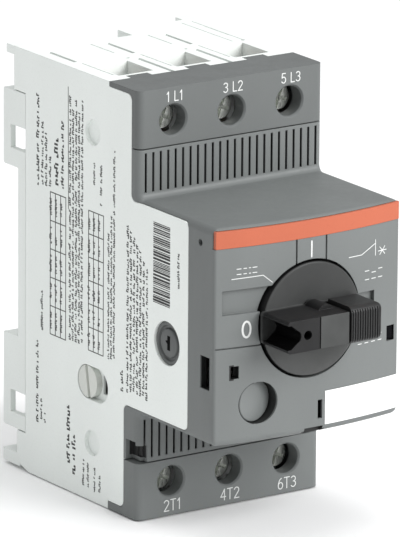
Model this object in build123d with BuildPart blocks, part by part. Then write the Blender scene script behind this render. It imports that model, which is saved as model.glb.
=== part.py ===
"""Rail-mounted motor protection breaker, three poles, rotary knob.

Frame: origin at the centre of the rail seat, +Z up, +X to the right seen from the front. The front faces -Y,
so depth grows towards -Y. All sizes are in millimetres.
"""
from build123d import *
import math
import os

os.makedirs("parts", exist_ok=True)

# ---- driving dimensions ------------------------------------------------------------------------------
width = 45.0
height = 90.0
rail_above_bottom = 46.7        # centre of the rail above the bottom face
half = width / 2
bottom = -rail_above_bottom
top = bottom + height

pole_pitch = 14.2
poles = (-pole_pitch, 0.0, pole_pitch)

housing_front = -34.3           # front edge of the white housing's box
terminal_face = -45.1           # front of the terminal covers and vents
knob_corner = -72.4             # front vertical edges of the knob block
bulge = 2.3                     # how far the knob block's front swells ahead of its edges
bulge_radius = (half**2 + bulge**2) / (2 * bulge)
face_apex = knob_corner - bulge
block_low = bottom + 22.5       # knob block, lower and upper face
block_high = bottom + 67.6
terminal_height = 12.1          # height of a terminal cover
seam = 0.25                     # gap between the front cover and a terminal cover
cover_low = bottom + terminal_height
cover_high = top - terminal_height

wall = 1.6
front_wall = 1.8
cheek = 1.6                     # thickness of the housing's side cheeks
cheek_gap = 0.1
inner_half = half - cheek - cheek_gap - wall

screw_z = (7.3 + bottom, top - 6.85)
screw_hole_radius = 3.15
screw_head_radius = 2.85
screw_head_front = -41.1

vent_count = 24
vent_pitch = 1.804
vent_width = 0.52
vent_height = 8.2
vent_z = (bottom + 17.2, top - 17.0)

knob_x = -0.6
knob_radius = 11.8
knob_opening = 12.3
disc_front = -75.0
handle_front = -84.6
handle_half = 3.3
handle_back = -74.9             # clears the cover as the handle sweeps over it

seat_plane = 0.0
plate_depth = 3.1               # thickness of the rail base's plate
base_low = bottom + 8.4
base_high = bottom + 80.6
ear_depth = 5.1                 # how far the ears stand behind the rail seat
ear_width = 4.0
ear_skin = 1.2
rail_gap_low = bottom + 28.4    # clear height between the ears, for a 35 mm rail
rail_gap_high = bottom + 64.4

contact_stroke = 3.0
contact_z = 6.0                 # centre of the contact bridges
contact_reach = 8.0             # from the centre to each contact tip
coil_z = -21.5
chamber_half = 6.2              # half width of a pole chamber
chamber_back = -4.9


# ---- small helpers -----------------------------------------------------------------------------------
def block(x, y, z, mode=Mode.ADD):
    """Box between two corners, each argument a (low, high) span."""
    with Locations(((x[0] + x[1]) / 2, (y[0] + y[1]) / 2, (z[0] + z[1]) / 2)):
        Box(abs(x[1] - x[0]), abs(y[1] - y[0]), abs(z[1] - z[0]), mode=mode)


def rod(radius, x, y, z, mode=Mode.ADD):
    """Cylinder along Y over the span y."""
    with Locations(Location((x, (y[0] + y[1]) / 2, z), (90, 0, 0))):
        Cylinder(radius, abs(y[1] - y[0]), mode=mode)


def cross_rod(radius, x, y, z, mode=Mode.ADD):
    """Cylinder along X over the span x."""
    with Locations(Location(((x[0] + x[1]) / 2, y, z), (0, 90, 0))):
        Cylinder(radius, abs(x[1] - x[0]), mode=mode)


def coil_spring(radius, wire, length, turns):
    """Helical compression spring along +Z from the origin."""
    with BuildPart() as spring:
        with BuildLine():
            path = Helix(pitch=(length - 2 * wire) / turns, height=length - 2 * wire, radius=radius,
                         center=(0, 0, wire))
        with BuildSketch(Plane(origin=path @ 0, z_dir=path % 0)):
            Circle(wire / 2)
        sweep(path=path, is_frenet=True)
    return spring.part


def save(solid, name):
    solid.label = name
    export_step(solid, f"parts/{name}.step")


# ---- rail base ---------------------------------------------------------------------------------------
seat_relief = 0.4
seat_half_width = 16.0
seat_half_height = 14.0
ears = ((base_low, rail_gap_low, bottom + 11.6, bottom + 16.4),
        (rail_gap_high, base_high, bottom + 68.2, bottom + 73.2))
window_back = 2.4

with BuildPart() as rail_base:
    block((-half, half), (-plate_depth, -seat_relief), (base_low, base_high))
    block((-seat_half_width, seat_half_width), (-plate_depth, seat_plane), (-seat_half_height, seat_half_height))
    for side in (-1, 1):
        outer = side * half
        inner = side * (half - ear_width)
        skin = side * (half - ear_skin)
        for low, high, window_low, window_high in ears:
            block((inner, outer), (-seat_relief, ear_depth), (low, high))
            block((inner, skin), (-seat_relief, ear_depth + 1), (low + ear_skin, high - ear_skin), Mode.SUBTRACT)
            block((side * (half - 5.5), outer + side), (-plate_depth - 1, window_back),
                  (window_low, window_high), Mode.SUBTRACT)
    # fixed hook over the rail's upper edge
    block((-7.0, 7.0), (-seat_relief, 2.8), (17.8, 20.6))
    block((-7.0, 7.0), (1.3, 2.8), (16.0, 17.8))
    # guides and spring pocket of the rail latch
    for side in (-1, 1):
        block((side * 6.3, side * 7.7), (-seat_relief, 2.4), (-37.5, -23.0))
        block((side * 5.0, side * 6.3), (1.8, 2.4), (-37.5, -23.0))
    block((-1.9, 1.9), (-1.9, 0.0), (-34.5, -24.5), Mode.SUBTRACT)
    fillet(rail_base.edges().filter_by(Axis.X).group_by(Axis.Y)[-1], 0.5)
save(rail_base.part, "rail_base")

# ---- rear housing ------------------------------------------------------------------------------------
end_wall = 3.0                  # top and bottom walls of the housing
panel_step = 0.1
cheek_front_upper = -42.5
cheek_front_lower = -40.0
cheek_front_knob = -63.1
cheek_points = [(housing_front, bottom + 1.7), (cheek_front_lower, bottom + 1.7),
                (cheek_front_lower, bottom + 23.7), (cheek_front_knob, bottom + 23.7),
                (cheek_front_knob, bottom + 67.0), (cheek_front_upper, bottom + 67.0),
                (cheek_front_upper, top - 1.1), (housing_front, top - 1.1)]

with BuildSketch(Plane.YZ.offset(half - cheek)) as cheek_outline:
    Polygon(*cheek_points, align=None)
    fillet(cheek_outline.vertices().filter_by_position(Axis.X, -100, housing_front - 1), 1.4)

with BuildSketch(Plane.YZ.offset(half - cheek - cheek_gap)) as cheek_relief:
    Polygon(*cheek_points, align=None)
    offset(amount=cheek_gap, kind=Kind.INTERSECTION)
    fillet(cheek_relief.vertices().filter_by_position(Axis.X, -100, housing_front - 1), 1.4)

with BuildPart() as rear_housing:
    with BuildSketch(Plane.YZ):
        Polygon((housing_front, bottom), (-4.3, bottom), (-1.2, bottom + 1.0), (0.0, bottom + 3.2),
                (0.0, base_low - seam), (-plate_depth - panel_step, base_low - seam),
                (-plate_depth - panel_step, base_high + seam), (1.1, base_high + seam),
                (1.1, top), (housing_front, top), align=None)
    extrude(amount=half, both=True)
    extrude(cheek_outline.sketch, amount=cheek)
    mirror(extrude(cheek_outline.sketch, amount=cheek, mode=Mode.PRIVATE), about=Plane.YZ)
    # pole chambers, open to the front, with the wire entries through the end walls
    for x in poles:
        block((x - chamber_half, x + chamber_half), (housing_front - 1, chamber_back),
              (bottom + end_wall, top - end_wall), Mode.SUBTRACT)
        for low, high in ((bottom - 1, bottom + end_wall + 1), (top - end_wall - 1, top + 1)):
            block((x - 4.2, x + 4.2), (-31.5, -22.0), (low, high), Mode.SUBTRACT)
            block((x - 5.7, x - 4.9), (-17.3, -7.4), (low, high), Mode.SUBTRACT)
        # notches for the tabs of the terminal covers
        for z in (bottom, top):
            block((x - 3.1, x + 2.1), (housing_front - 1, housing_front + 2.0), (z - 0.9, z + 0.9),
                  Mode.SUBTRACT)
    # room for the parts that cross the walls between the poles
    for x in (-pole_pitch / 2, pole_pitch / 2):
        block((x - 2, x + 2), (housing_front - 1, -21.5), (contact_z - 4.5, contact_z + 4.5), Mode.SUBTRACT)
        block((x - 2, x + 2), (housing_front - 1, -30.2), (-25.5, -11.5), Mode.SUBTRACT)
        block((x - 2, x + 2), (housing_front - 1, -29.4), (-9.0, 9.0), Mode.SUBTRACT)
        for z in (bottom, top):
            block((x - 0.45, x + 0.45), (housing_front - 1, -21.3), (z - 2.4, z + 2.4), Mode.SUBTRACT)
    # bearings of the trip bar
    cross_rod(1.35, (-21.5, 21.5), -32.6, -14.8, Mode.SUBTRACT)
    # notch in the rear edge of each end face
    for z in (bottom, top):
        block((-5.6, 2.9), (-4.4, 2.0), (z - 2.6, z + 2.6), Mode.SUBTRACT)
    # channel for the rail latch's tail
    block((-6.4, 6.4), (-0.5, 2.0), (bottom - 1, base_low), Mode.SUBTRACT)
    # feet at the rear corners
    for side in (-1, 1):
        for y, low, high in ((5.4, bottom + 0.4, bottom + 3.1), (4.1, top - 1.9, top - 0.1)):
            block((side * (half - 3.2), side * (half - 0.1)), (-1.0, y), (low, high))
        # round dimples, plug slot and setting port in the side walls
        outside = (side * (half - 1.5), side * (half + 1))
        for z in (bottom + 12.4, bottom + 78.0):
            cross_rod(2.7, (side * (half - 0.9), side * (half + 1)), -28.3, z, Mode.SUBTRACT)
        through = (side * (half - 3), side * (half + 1))
        for y in (-26.5, -30.6):
            cross_rod(3.6, outside, y, -21.6, Mode.SUBTRACT)
        block(outside, (-30.6, -26.5), (-25.2, -18.0), Mode.SUBTRACT)
        block(through, (-33.4, -30.3), (-23.6, -19.6), Mode.SUBTRACT)
        cross_rod(4.6, through, -55.6, -6.5, Mode.SUBTRACT)
    # shallow lines and small holes moulded into the end faces
    for x in poles:
        for z in (bottom, top):
            shallow = (z - 0.35, z + 0.35)
            block((x + 5.4, x + 5.7), (-15.0, -6.0), shallow, Mode.SUBTRACT)
            block((x - 4.95, x - 4.65), (-30.5, -18.8), shallow, Mode.SUBTRACT)
            with Locations((x + 5.5, -20.0, z)):
                Cylinder(0.5, 3.0, mode=Mode.SUBTRACT)
    for z in (bottom, top):
        for x in (17.3, 19.9):
            block((x - 0.12, x + 0.12), (-20.0, -1.0), (z - 0.3, z + 0.3), Mode.SUBTRACT)
save(rear_housing.part, "rear_housing")

with BuildPart() as side_plugs:
    for side in (-1, 1):
        cross_rod(3.45, (side * (half - 1.45), side * (half - 0.15)), -26.5, -21.6)
        with Locations(Location((side * (half - 0.3), -26.5, -21.6), (10 * side, 0, 0))):
            Box(0.9, 0.9, 8.0, mode=Mode.SUBTRACT)
save(side_plugs.part, "side_plugs")

# ---- front cover -------------------------------------------------------------------------------------
cavity_step = -62.4             # ahead of the cheeks the cavity is wider
boss_x = (-13.5, 13.5)
corner_radius = 1.5
strip_low = bottom + 63.5
strip_high = bottom + 67.2
strip_recess = 0.8
label_low = bottom + 23.9
label_high = bottom + 31.0
label_left = 3.0
label_recess = 0.6
pocket_depth = 1.0
groove_depth = 0.4
dial_floor = -71.0
dial_tilt = 12.0                # the cap leans back towards the knob, in degrees
dial_x = -12.7
dial_z = bottom + 30.8
dial_radius = 4.35


def face_y(x):
    """Depth of the knob block's curved front at x."""
    return face_apex + bulge_radius - math.sqrt(bulge_radius**2 - x**2)


def bulged_profile(edge, offset_y, back):
    """Outline in plan: straight back and sides, front swelling to the bulge."""
    corner = face_y(edge) + offset_y
    with BuildSketch() as outline:
        with BuildLine():
            Polyline((-edge, corner), (-edge, back), (edge, back), (edge, corner))
            ThreePointArc((edge, corner), (0, face_apex + offset_y), (-edge, corner))
        make_face()
    return outline.sketch


def bulged_slab(edge, front, depth, low, high):
    """Curved slab that follows the knob block's front, `front` behind it and `depth` thick."""
    whole = extrude(Plane.XY.offset(low) * bulged_profile(edge, front, -60.0), amount=high - low,
                    mode=Mode.PRIVATE)
    core = extrude(Plane.XY.offset(low - 1) * bulged_profile(edge + 1, front + depth, -59.0),
                   amount=high - low + 2, mode=Mode.PRIVATE)
    return whole - core


def face_recess(x, z, depth):
    """Cutter for a recess of even depth in the curved front, over the spans x and z."""
    with BuildPart() as cutter:
        add(bulged_slab(half + 1, -1.0, depth + 1.0, z[0], z[1]))
        block(x, (-80, -50), (z[0] - 1, z[1] + 1), Mode.INTERSECT)
    return cutter.part


with BuildPart() as relief:
    extrude(cheek_relief.sketch, amount=cheek + 1)
    mirror(about=Plane.YZ)

with BuildPart() as front_cover:
    block((-half, half), (terminal_face, housing_front), (cover_low + seam / 2, cover_high - seam / 2))
    extrude(Plane.XY.offset(block_low) * bulged_profile(half, 0, housing_front), amount=block_high - block_low)
    roots = front_cover.edges().filter_by(Axis.X).filter_by_position(Axis.Y, terminal_face - 0.1,
                                                                    terminal_face + 0.1)
    fillet(roots.sort_by(Axis.Z)[1:-1], 1.2)
    fillet(front_cover.edges().filter_by(Axis.Z).group_by(Axis.Y)[0], 0.7)
    corners = front_cover.edges().filter_by(Axis.Z).filter_by_position(Axis.Y, terminal_face - 0.1,
                                                                       terminal_face + 0.1)
    fillet(corners, corner_radius)
    # cavity of the vents and of the knob block
    block((-inner_half, inner_half), (terminal_face + front_wall, housing_front + 1),
          (cover_low - 1, cover_high + 1), Mode.SUBTRACT)
    with BuildSketch(Plane.XY.offset(block_low + wall)):
        with BuildLine():
            wide = half - wall
            inside = knob_corner + front_wall
            Polyline((-wide, inside), (-wide, cavity_step), (-inner_half, cavity_step),
                     (-inner_half, housing_front), (inner_half, housing_front),
                     (inner_half, cavity_step), (wide, cavity_step), (wide, inside))
            ThreePointArc((wide, inside), (0, inside - bulge), (-wide, inside))
        make_face()
    extrude(amount=block_high - block_low - 2 * wall, mode=Mode.SUBTRACT)
    add(relief.part, mode=Mode.SUBTRACT)
    for z in vent_z:
        with Locations((0, terminal_face, z)):
            with GridLocations(vent_pitch, 1, vent_count, 1):
                Box(vent_width, 5.0, vent_height, mode=Mode.SUBTRACT)
    # knob opening, strip and label recesses
    rod(knob_opening, knob_x, (-80, -66), 0, Mode.SUBTRACT)
    add(face_recess((-half - 1, half + 1), (strip_low, strip_high), strip_recess), mode=Mode.SUBTRACT)
    add(face_recess((label_left, half + 1), (label_low, label_high), label_recess), mode=Mode.SUBTRACT)
    rod(dial_radius + 0.9, dial_x, (dial_floor - 2.2, dial_floor + 1.1), dial_z)
    # windows: trip flag, test pusher, slot beside the label
    block((-18.9, -17.1), (-80, -66), (bottom + 36.4, bottom + 39.0), Mode.SUBTRACT)
    block((19.2, 21.3), (-80, -65.0), (bottom + 38.4, bottom + 41.6), Mode.SUBTRACT)
    block((1.3, 2.4), (-80, -66), (bottom + 25.4, bottom + 29.3), Mode.SUBTRACT)
    # shallow pockets beside the knob, and the fine grooves round them
    add(face_recess((-20.8, -8.0), (bottom + 49.7, bottom + 54.8), pocket_depth), mode=Mode.SUBTRACT)
    add(face_recess((8.0, 15.6), (bottom + 47.6, bottom + 49.9), pocket_depth), mode=Mode.SUBTRACT)
    for x in (knob_x - 3.6, knob_x + 3.6):
        add(face_recess((x - 0.2, x + 0.2), (11.0, strip_low), groove_depth), mode=Mode.SUBTRACT)
    add(face_recess((-22.2, -11.5), (bottom + 42.7, bottom + 43.0), groove_depth), mode=Mode.SUBTRACT)
    # thumb notch in the lower edge, beside the label
    block((-1.9, 2.6), (-80, -73.3), (block_low - 1, block_low + 1.3), Mode.SUBTRACT)
    # side slots, setting screw and pin holes of the knob block
    for side in (-1, 1):
        through = (side * (half - 2.6), side * (half + 1))
        block(through, (-70.9, -67.6), (bottom + 34.0, bottom + 40.8), Mode.SUBTRACT)
        cross_rod(0.7, through, -67.4, bottom + 64.0, Mode.SUBTRACT)
        # corner notches above the lower terminal cover
        block((side * (half - 2.4), side * (half + 1)), (terminal_face - 1, terminal_face + 1.2),
              (cover_low - 1, bottom + 15.8), Mode.SUBTRACT)
        block((side * (half - 1.7), side * (half + 1)), (terminal_face + 0.9, -40.9),
              (cover_low - 1, bottom + 16.6), Mode.SUBTRACT)
    # bearing bosses for the mechanism plate
    for x in boss_x:
        for z in (-19.0, 16.0):
            rod(2.4, x, (-72.6, -52.0), z)
            rod(1.0, x, (-60.0, -51.0), z, Mode.SUBTRACT)
    rod(dial_radius, dial_x, (-80, dial_floor), dial_z, Mode.SUBTRACT)
save(front_cover.part, "front_cover")


def terminal_cover(low, high, end_low, end_high):
    """One terminal cover; its closed end spans end_low to end_high."""
    with BuildPart() as cover:
        block((-half, half), (terminal_face, housing_front), (low, high))
        fillet(cover.edges().filter_by(Axis.Z).group_by(Axis.Y)[0], corner_radius)
        block((-inner_half, inner_half), (terminal_face + front_wall, housing_front + 1),
              (low - 1, high + 1), Mode.SUBTRACT)
        block((-inner_half - 0.5, inner_half + 0.5), (terminal_face + 0.5, housing_front), (end_low, end_high))
        add(relief.part, mode=Mode.SUBTRACT)
        z = screw_z[0] if end_low < 0 else screw_z[1]
        for x in poles:
            rod(4.2, x, (terminal_face + 0.5, screw_head_front - 0.5), z)
            rod(screw_hole_radius, x, (terminal_face - 1, screw_head_front), z, Mode.SUBTRACT)
            # tab that laps over the housing's end face
            block((x - 3.0, x + 2.0), (housing_front, housing_front + 1.9),
                  (end_low, end_low + 0.8) if end_low < 0 else (end_high - 0.8, end_high))
        rims = cover.faces().filter_by(Plane.XZ).sort_by(Axis.Y)[0].inner_wires().edges()
        chamfer(rims, 0.35)
    return cover.part


lower_terminal_cover = terminal_cover(bottom, cover_low - seam / 2, bottom, bottom + wall)
upper_terminal_cover = terminal_cover(cover_high + seam / 2, top, top - wall, top)
save(lower_terminal_cover, "lower_terminal_cover")
save(upper_terminal_cover, "upper_terminal_cover")

with BuildPart() as colour_strip:
    add(bulged_slab(half - 0.25, -0.08, strip_recess + 0.03, strip_low + 0.05, strip_high - 0.05))
save(colour_strip.part, "colour_strip")

with BuildPart() as label_plate:
    add(bulged_slab(half - 0.15, -0.1, label_recess + 0.05, label_low + 0.05, label_high - 0.05))
    block((-half, label_left + 0.05), (-80, -50), (label_low - 1, label_high + 1), Mode.SUBTRACT)
save(label_plate.part, "label_plate")

with BuildPart() as dial_blank:
    rod(dial_radius - 0.12, dial_x, (dial_floor - 4.0, dial_floor - 0.05), dial_z)
    with Locations(Location((dial_x, dial_floor - 1.5, dial_z), (0, 0, dial_tilt))):
        Box(20, 10, 20, align=(Align.CENTER, Align.MAX, Align.CENTER), mode=Mode.SUBTRACT)
    fillet(dial_blank.edges().group_by(Axis.Y)[0], 0.25)
save(dial_blank.part, "dial_blank")

# ---- knob and lock slide -----------------------------------------------------------------------------
handle_left = knob_x - 12.4
handle_right = knob_x + 2.4
slide_left = knob_x + 3.0
slide_right = knob_x + 10.9
slide_half = 4.0
slide_base = -76.3

with BuildPart() as knob:
    rod(knob_radius, knob_x, (disc_front, -71.4), 0)
    fillet(knob.edges().group_by(Axis.Y)[0], 0.4)
    block((handle_left, handle_right), (handle_front, handle_back), (-handle_half, handle_half))
    block((handle_left, slide_right - 0.4), (-76.0, handle_back), (-handle_half, handle_half))
    fillet(knob.edges().filter_by(Axis.Y).filter_by_position(Axis.X, handle_left - 0.1, handle_left + 0.1), 0.6)
    # hollow indicator end, open to the left and the front
    with BuildSketch(Plane.XZ.offset(-disc_front + 0.6)) as hollow:
        with BuildLine():
            Polyline((handle_left - 1, 2.5), (handle_left + 0.8, 2.5), (handle_left + 2.3, 1.3))
            ThreePointArc((handle_left + 2.3, 1.3), (handle_left + 3.2, 0.0), (handle_left + 2.3, -1.3))
            Polyline((handle_left + 2.3, -1.3), (handle_left + 0.8, -2.5), (handle_left - 1, -2.5),
                     (handle_left - 1, 2.5))
        make_face()
    extrude(amount=12, mode=Mode.SUBTRACT)
    # boss bump on the crown of the handle, sight hole, seam, tongue pocket
    with Locations(Location((knob_x - 0.4, -78.0, handle_half - 1.2), (90, 0, 0))):
        Cylinder(2.2, 5.0)
    rod(0.95, knob_x - 7.6, (-90, -78.5), 0, Mode.SUBTRACT)
    block((knob_x - 4.75, knob_x - 4.45), (handle_front - 1, handle_front + 0.35), (-5, 5), Mode.SUBTRACT)
    block((knob_x - 3.2, handle_right + 1), (-82.6, -78.4), (-2.1, 2.1), Mode.SUBTRACT)
    # retaining flange and socket for the shaft
    rod(13.3, knob_x, (-71.4, -70.2), 0)
    block((knob_x - 2.6, knob_x + 2.6), (-74.0, -70.0), (-2.6, 2.6), Mode.SUBTRACT)
save(knob.part, "knob")

rib_pitch = 0.6
with BuildPart() as lock_slide:
    block((slide_left, slide_right), (handle_front, slide_base), (-slide_half + 0.3, slide_half))
    fillet(lock_slide.edges().filter_by(Axis.Y).group_by(Axis.X)[-1], 1.3)
    crown = lock_slide.edges().filter_by(Axis.X).group_by(Axis.Y)[0]
    fillet(crown, 1.4)
    for i in range(13):
        x = slide_left + 0.35 + i * rib_pitch
        block((x - 0.12, x + 0.12), (handle_front - 1, handle_front + 0.32), (-5, 5), Mode.SUBTRACT)
    block((knob_x - 2.8, slide_left + 1), (-82.4, -78.6), (-1.9, 1.9))
save(lock_slide.part, "lock_slide")

# ---- shaft, swash cam, mechanism plate ---------------------------------------------------------------
cam_radius = 7.5
follower_reach = 6.0            # height of the carrier's follower above the knob axis
cam_middle = -34.0
cam_slope = contact_stroke / follower_reach
cam_back = cam_middle + cam_radius * cam_slope
cam_front = -46.0
plate_front = -52.0
plate_back = -50.4
plate_half = 18.6

latch_x = 11.2                  # pivot of the latch lever
latch_y = -43.5
latch_z = -12.8
trip_y = -32.6                  # pivot of the trip bar
trip_z = -14.8
flag_x = -18.0
flag_low = -20.8
test_x = 20.25                  # button of the test pusher and its rod
test_z = bottom + 40.0
test_rod_x = 16.8

with BuildPart() as knob_shaft:
    rod(4.0, knob_x, (-70.1, cam_front), 0)
    block((knob_x - 2.5, knob_x + 2.5), (-73.8, -70.1), (-2.5, 2.5))
save(knob_shaft.part, "knob_shaft")

with BuildPart() as cam_drum:
    rod(cam_radius, knob_x, (cam_front, cam_back), 0)
    with BuildSketch(Plane.YZ):
        Polygon((cam_middle - 12 * cam_slope, 12), (cam_back + 8, 12), (cam_back + 8, -12),
                (cam_middle + 12 * cam_slope, -12), align=None)
    extrude(amount=20, both=True, mode=Mode.SUBTRACT)
save(cam_drum.part, "cam_drum")

with BuildPart() as mechanism_plate:
    block((-plate_half, plate_half), (plate_front, plate_back), (-21.5, 18.5))
    fillet(mechanism_plate.edges().filter_by(Axis.Y), 1.0)
    rod(4.06, knob_x, (-60, -40), 0, Mode.SUBTRACT)
    for x in boss_x:
        for z in (-19.0, 16.0):
            rod(1.3, x, (-60, -40), z, Mode.SUBTRACT)
    # slot for the trip flag and guide hole for the test pusher
    block((-20, flag_x + 0.8), (-60, -40), (-23.0, -13.4), Mode.SUBTRACT)
    rod(0.8, test_rod_x, (-60, -40), test_z, Mode.SUBTRACT)
    # lugs that carry the latch lever's pin
    for x in (latch_x - 2.0, latch_x + 2.0):
        block((x - 0.6, x + 0.6), (plate_back, latch_y + 2), (latch_z - 3, latch_z + 3))
    cross_rod(0.8, (latch_x - 3.2, latch_x + 3.8), latch_y, latch_z, Mode.SUBTRACT)
save(mechanism_plate.part, "mechanism_plate")

with BuildPart() as plate_screws:
    for x in boss_x:
        for z in (-19.0, 16.0):
            rod(0.95, x, (-58.0, plate_back), z)
            rod(2.0, x, (plate_back, plate_back + 1.3), z)
            block((x - 1.6, x + 1.6), (plate_back + 0.7, plate_back + 2), (z - 0.25, z + 0.25), Mode.SUBTRACT)
save(plate_screws.part, "plate_screws")

knob_spring = Location((knob_x, -56.0, 0), (90, 0, 0)) * coil_spring(5.6, 0.8, 9.0, 5)
save(knob_spring, "knob_spring")

# ---- contact carrier and moving contacts -------------------------------------------------------------
bar_front = -31.0
bar_back = -26.5
stem_back = -15.5
stem_half = 3.2
bridge_half = 2.0
bridge_back = stem_back - 1.5 - 0.1
bridge_front = bridge_back - 1.2
window_front = -21.6
follower_ball = 1.2
ball_y = cam_middle - contact_stroke + 1.57

with BuildPart() as contact_carrier:
    block((-20.0, 20.0), (bar_front, bar_back), (contact_z - 3, contact_z + 3))
    for x in poles:
        block((x - stem_half, x + stem_half), (bar_back, stem_back), (contact_z - 3, contact_z + 3))
        block((x - bridge_half - 0.25, x + bridge_half + 0.25), (window_front, stem_back - 1.5),
              (contact_z - 4, contact_z + 4), Mode.SUBTRACT)
    rod(follower_ball, knob_x, (ball_y, bar_front), follower_reach)
    with Locations((knob_x, ball_y, follower_reach)):
        Sphere(follower_ball)
save(contact_carrier.part, "contact_carrier")

with BuildPart() as moving_contacts:
    for x in poles:
        block((x - bridge_half, x + bridge_half), (bridge_front, bridge_back),
              (contact_z - contact_reach - 2, contact_z + contact_reach + 2))
        for z in (contact_z - contact_reach, contact_z + contact_reach):
            rod(1.8, x, (bridge_back, bridge_back + 0.9), z)
save(moving_contacts.part, "moving_contacts")

contact_spring_length = bridge_front - window_front - 0.1
contact_springs = Compound(children=[
    Location((x, window_front + 0.05, contact_z), (-90, 0, 0))
    * coil_spring(1.3, 0.4, contact_spring_length, 3.5) for x in poles])
save(contact_springs, "contact_springs")

carrier_springs = Compound(children=[
    Location((x, bar_back + 0.1, contact_z), (-90, 0, 0)) * coil_spring(0.9, 0.35, -5.2 - bar_back, 14)
    for x in (-18.9, 18.9)])
save(carrier_springs, "carrier_springs")

# ---- conductors and fixed contacts -------------------------------------------------------------------
strip_half = 3.0
tip_front = bridge_back + 0.9 + contact_stroke + 0.1
tip_back = tip_front + 1.0
strip = 1.2                     # thickness of the copper strips
clamped_front = -26.4           # front of a strip where the clamp presses the wire on it
bus_front = -29.9
tip_overlap = 2.2


def conductor(terminal_end, jog_z, inner_z, tip_z, outward):
    """Strips from the terminals past the jog, along the front, then back and along to the contacts."""
    with BuildPart() as strips:
        for x in poles:
            span = (x - strip_half, x + strip_half)
            block(span, (clamped_front, clamped_front + strip), (terminal_end, jog_z))
            block(span, (bus_front, clamped_front + strip), (jog_z, jog_z + outward * strip))
            block(span, (bus_front, bus_front + strip), (jog_z, inner_z))
            block(span, (bus_front, tip_back + strip), (inner_z, inner_z + outward * strip))
            block(span, (tip_back, tip_back + strip), (inner_z, tip_z - outward * tip_overlap))
            # clearance for the plunger's pin
            rod(1.3, x, (bus_front - 1, bus_front + strip + 1), coil_z, Mode.SUBTRACT)
    return strips.part


line_conductors = conductor(top - 3.6, 31.6, 26.6, contact_z + contact_reach, 1)
load_conductors = conductor(bottom + 3.6, -34.55, -12.9, contact_z - contact_reach, -1)
save(line_conductors, "line_conductors")
save(load_conductors, "load_conductors")

with BuildPart() as contact_tips:
    for x in poles:
        for z in (contact_z - contact_reach, contact_z + contact_reach):
            rod(1.9, x, (tip_front, tip_back), z)
save(contact_tips.part, "contact_tips")

# ---- arc chutes --------------------------------------------------------------------------------------
chute_half = 5.6
chute_pitch = 1.7
chute_front = -26.6
chute_rear = -13.2
chute_stacks = ((contact_z + contact_reach + 2.4, 5), (contact_z - contact_reach - 10.6, 4))

with BuildPart() as arc_plates:
    for x in poles:
        for base, count in chute_stacks:
            for i in range(count):
                z = base + 1.2 + i * chute_pitch
                block((x - chute_half + 0.7, x + chute_half - 0.7), (chute_front, chute_rear), (z, z + 0.7))
                block((x - 1.4, x + 1.4), (chute_front - 1, chute_front + 6), (z - 0.2, z + 0.9), Mode.SUBTRACT)
save(arc_plates.part, "arc_plates")

with BuildPart() as arc_frames:
    for x in poles:
        for base, count in chute_stacks:
            tall = count * chute_pitch + 1.4
            for side in (-1, 1):
                block((x + side * (chute_half - 0.65), x + side * chute_half), (chute_front, chute_rear),
                      (base, base + tall))
            block((x - chute_half + 0.6, x + chute_half - 0.6), (chute_rear + 0.1, chute_rear + 0.8),
                  (base, base + tall))
            for side in (-1, 1):
                block((x + side * (chute_half - 0.65), x + side * chute_half), (chute_rear, chute_rear + 0.8),
                      (base, base + tall))
save(arc_frames.part, "arc_frames")

# ---- magnetic trip: coil, bobbin, yoke, core, plunger ------------------------------------------------
coil_front = -26.0
coil_back = -12.2
flange = 0.8
bobbin_bore = 2.28
plunger_radius = 2.22
core_back = -20.0
plunger_front = -16.6
plunger_back = -8.4
pin_radius = 0.8
pin_front = -28.6
plunger_stroke = 1.6

with BuildPart() as coil_bobbins:
    for x in poles:
        rod(2.9, x, (coil_front, coil_back), coil_z)
        rod(5.3, x, (coil_front - flange, coil_front), coil_z)
        rod(5.3, x, (coil_back, coil_back + flange), coil_z)
        rod(bobbin_bore, x, (coil_front - 2, coil_back + 2), coil_z, Mode.SUBTRACT)
save(coil_bobbins.part, "coil_bobbins")

with BuildPart() as magnet_coils:
    turns = 8
    turn_pitch = (coil_back - coil_front) / turns
    for x in poles:
        rod(4.5, x, (coil_front + 0.1, coil_back - 0.1), coil_z)
        for i in range(turns):
            middle = coil_front + (i + 0.5) * turn_pitch
            rod(5.0, x, (middle - 0.35 * turn_pitch, middle + 0.35 * turn_pitch), coil_z)
        rod(2.95, x, (coil_front - 1, coil_back + 1), coil_z, Mode.SUBTRACT)
save(magnet_coils.part, "magnet_coils")

yoke_top = coil_z + 5.5
with BuildPart() as magnet_yokes:
    for x in poles:
        span = (x - 4.6, x + 4.6)
        block(span, (coil_front - flange - 1.3, coil_front - flange - 0.05), (coil_z - 4.5, yoke_top + 1.2))
        block(span, (coil_back + flange + 0.05, coil_back + flange + 1.3), (coil_z - 4.5, yoke_top + 1.2))
        block(span, (coil_front - flange - 1.3, coil_back + flange + 1.3), (yoke_top, yoke_top + 1.2))
        rod(1.2, x, (coil_front - 4, coil_front), coil_z, Mode.SUBTRACT)
        rod(plunger_radius + 0.2, x, (coil_back, coil_back + 4), coil_z, Mode.SUBTRACT)
save(magnet_yokes.part, "magnet_yokes")

with BuildPart() as fixed_cores:
    for x in poles:
        rod(bobbin_bore - 0.03, x, (coil_front, core_back), coil_z)
        rod(pin_radius + 0.08, x, (coil_front - 1, core_back + 1), coil_z, Mode.SUBTRACT)
save(fixed_cores.part, "fixed_cores")

for number, x in enumerate(poles, start=1):
    with BuildPart() as plunger:
        rod(plunger_radius, x, (plunger_front, plunger_back), coil_z)
        rod(pin_radius, x, (pin_front, plunger_front), coil_z)
        chamfer(plunger.edges().group_by(Axis.Y)[-1], 0.4)
    save(plunger.part, f"plunger_{number}")
    spring = coil_spring(1.5, 0.3, plunger_front - core_back - 0.1, 3)
    save(Location((x, core_back + 0.05, coil_z), (-90, 0, 0)) * spring, f"plunger_spring_{number}")

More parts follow.
